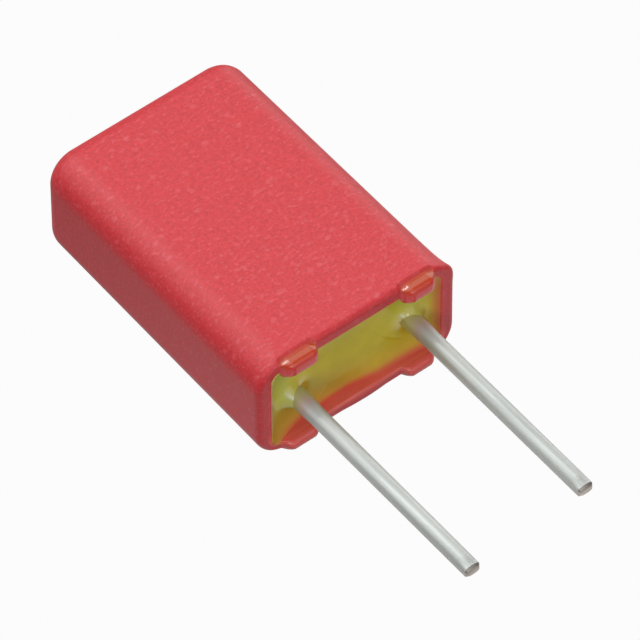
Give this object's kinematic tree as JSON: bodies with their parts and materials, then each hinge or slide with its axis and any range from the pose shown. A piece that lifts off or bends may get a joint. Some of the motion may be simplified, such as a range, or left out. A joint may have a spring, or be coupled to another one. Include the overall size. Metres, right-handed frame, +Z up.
{
  "type": "box film capacitor",
  "caption": "Small moulded box film capacitor with radial wire leads, stand-off feet and a resin-sealed open end, lying on its broad side.",
  "frame": {"origin": "on the surface the part lies on, under the middle of its outline", "axes": "+Z up from the surface through the thickness, -Y along the leads towards the board, +X from the left lead to the right lead"},
  "size_m": [0.0048, 0.0124, 0.0027],
  "materials": {
    "case_plastic": "matte red moulded polyester with a fine mottled grain",
    "sealing_resin": "glossy olive-yellow cast epoxy",
    "metallised_film": "silvery metallised polyester film",
    "sprayed_metal": "rough grey sprayed zinc",
    "tinned_wire": "satin tinned wire with faint drawing lines"
  },
  "bodies": {
    "root": {"case": "case_plastic", "resin_seal": "sealing_resin", "film_winding": "metallised_film", "end_contact_left": "sprayed_metal", "end_contact_right": "sprayed_metal", "lead_left": "tinned_wire", "lead_right": "tinned_wire"}
  },
  "joints": []
}
